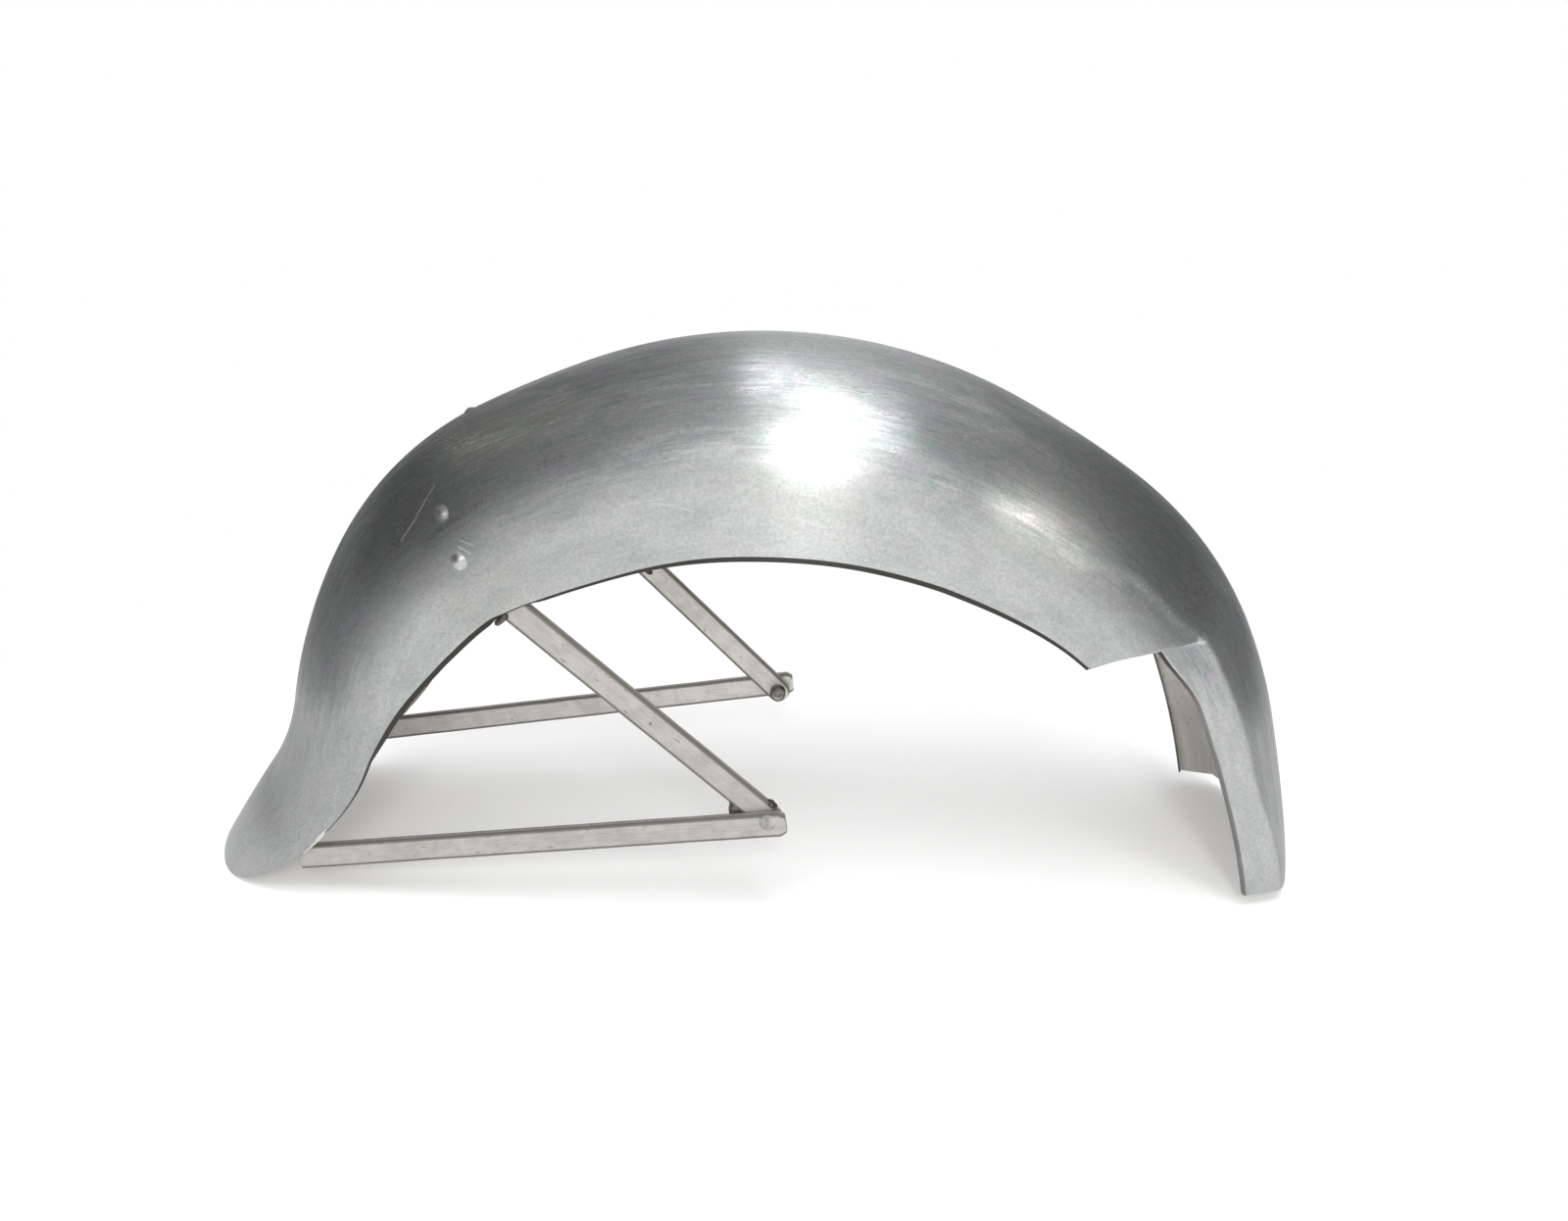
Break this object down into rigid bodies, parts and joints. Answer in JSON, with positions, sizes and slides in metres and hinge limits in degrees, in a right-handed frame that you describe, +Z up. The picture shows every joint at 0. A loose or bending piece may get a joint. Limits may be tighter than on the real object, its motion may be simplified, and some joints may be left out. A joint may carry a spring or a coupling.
{
  "type": "motorcycle rear fender",
  "caption": "Raw steel motorcycle rear fender: a long arched blade with a rounded section, deep skirts, a stepped front tongue and a flicked tail, held by flat bar stays that meet at eyes.",
  "frame": {"origin": "on the ground plane under the middle of the length and width, with the fender standing on its tongue and tail", "axes": "+X forward to the tongue, +Y to the left side of the machine (the far side in the picture), +Z up"},
  "size_m": [0.7952, 0.1981, 0.3801],
  "materials": {
    "sheet_steel": "raw pressed sheet, brushed along its length, with blotches and scratches",
    "stay_steel": "bare mill finish bar with dark edges",
    "bush_steel": "turned bare steel, dull",
    "rivet_steel": "bare steel heads, worn bright on top"
  },
  "bodies": {
    "root": {"blade": "sheet_steel", "stay_hoop": "stay_steel", "lower_stay_near": "stay_steel", "lower_stay_far": "stay_steel", "eye_bush_near": "bush_steel", "eye_bush_far": "bush_steel", "rivets": "rivet_steel"}
  },
  "joints": []
}
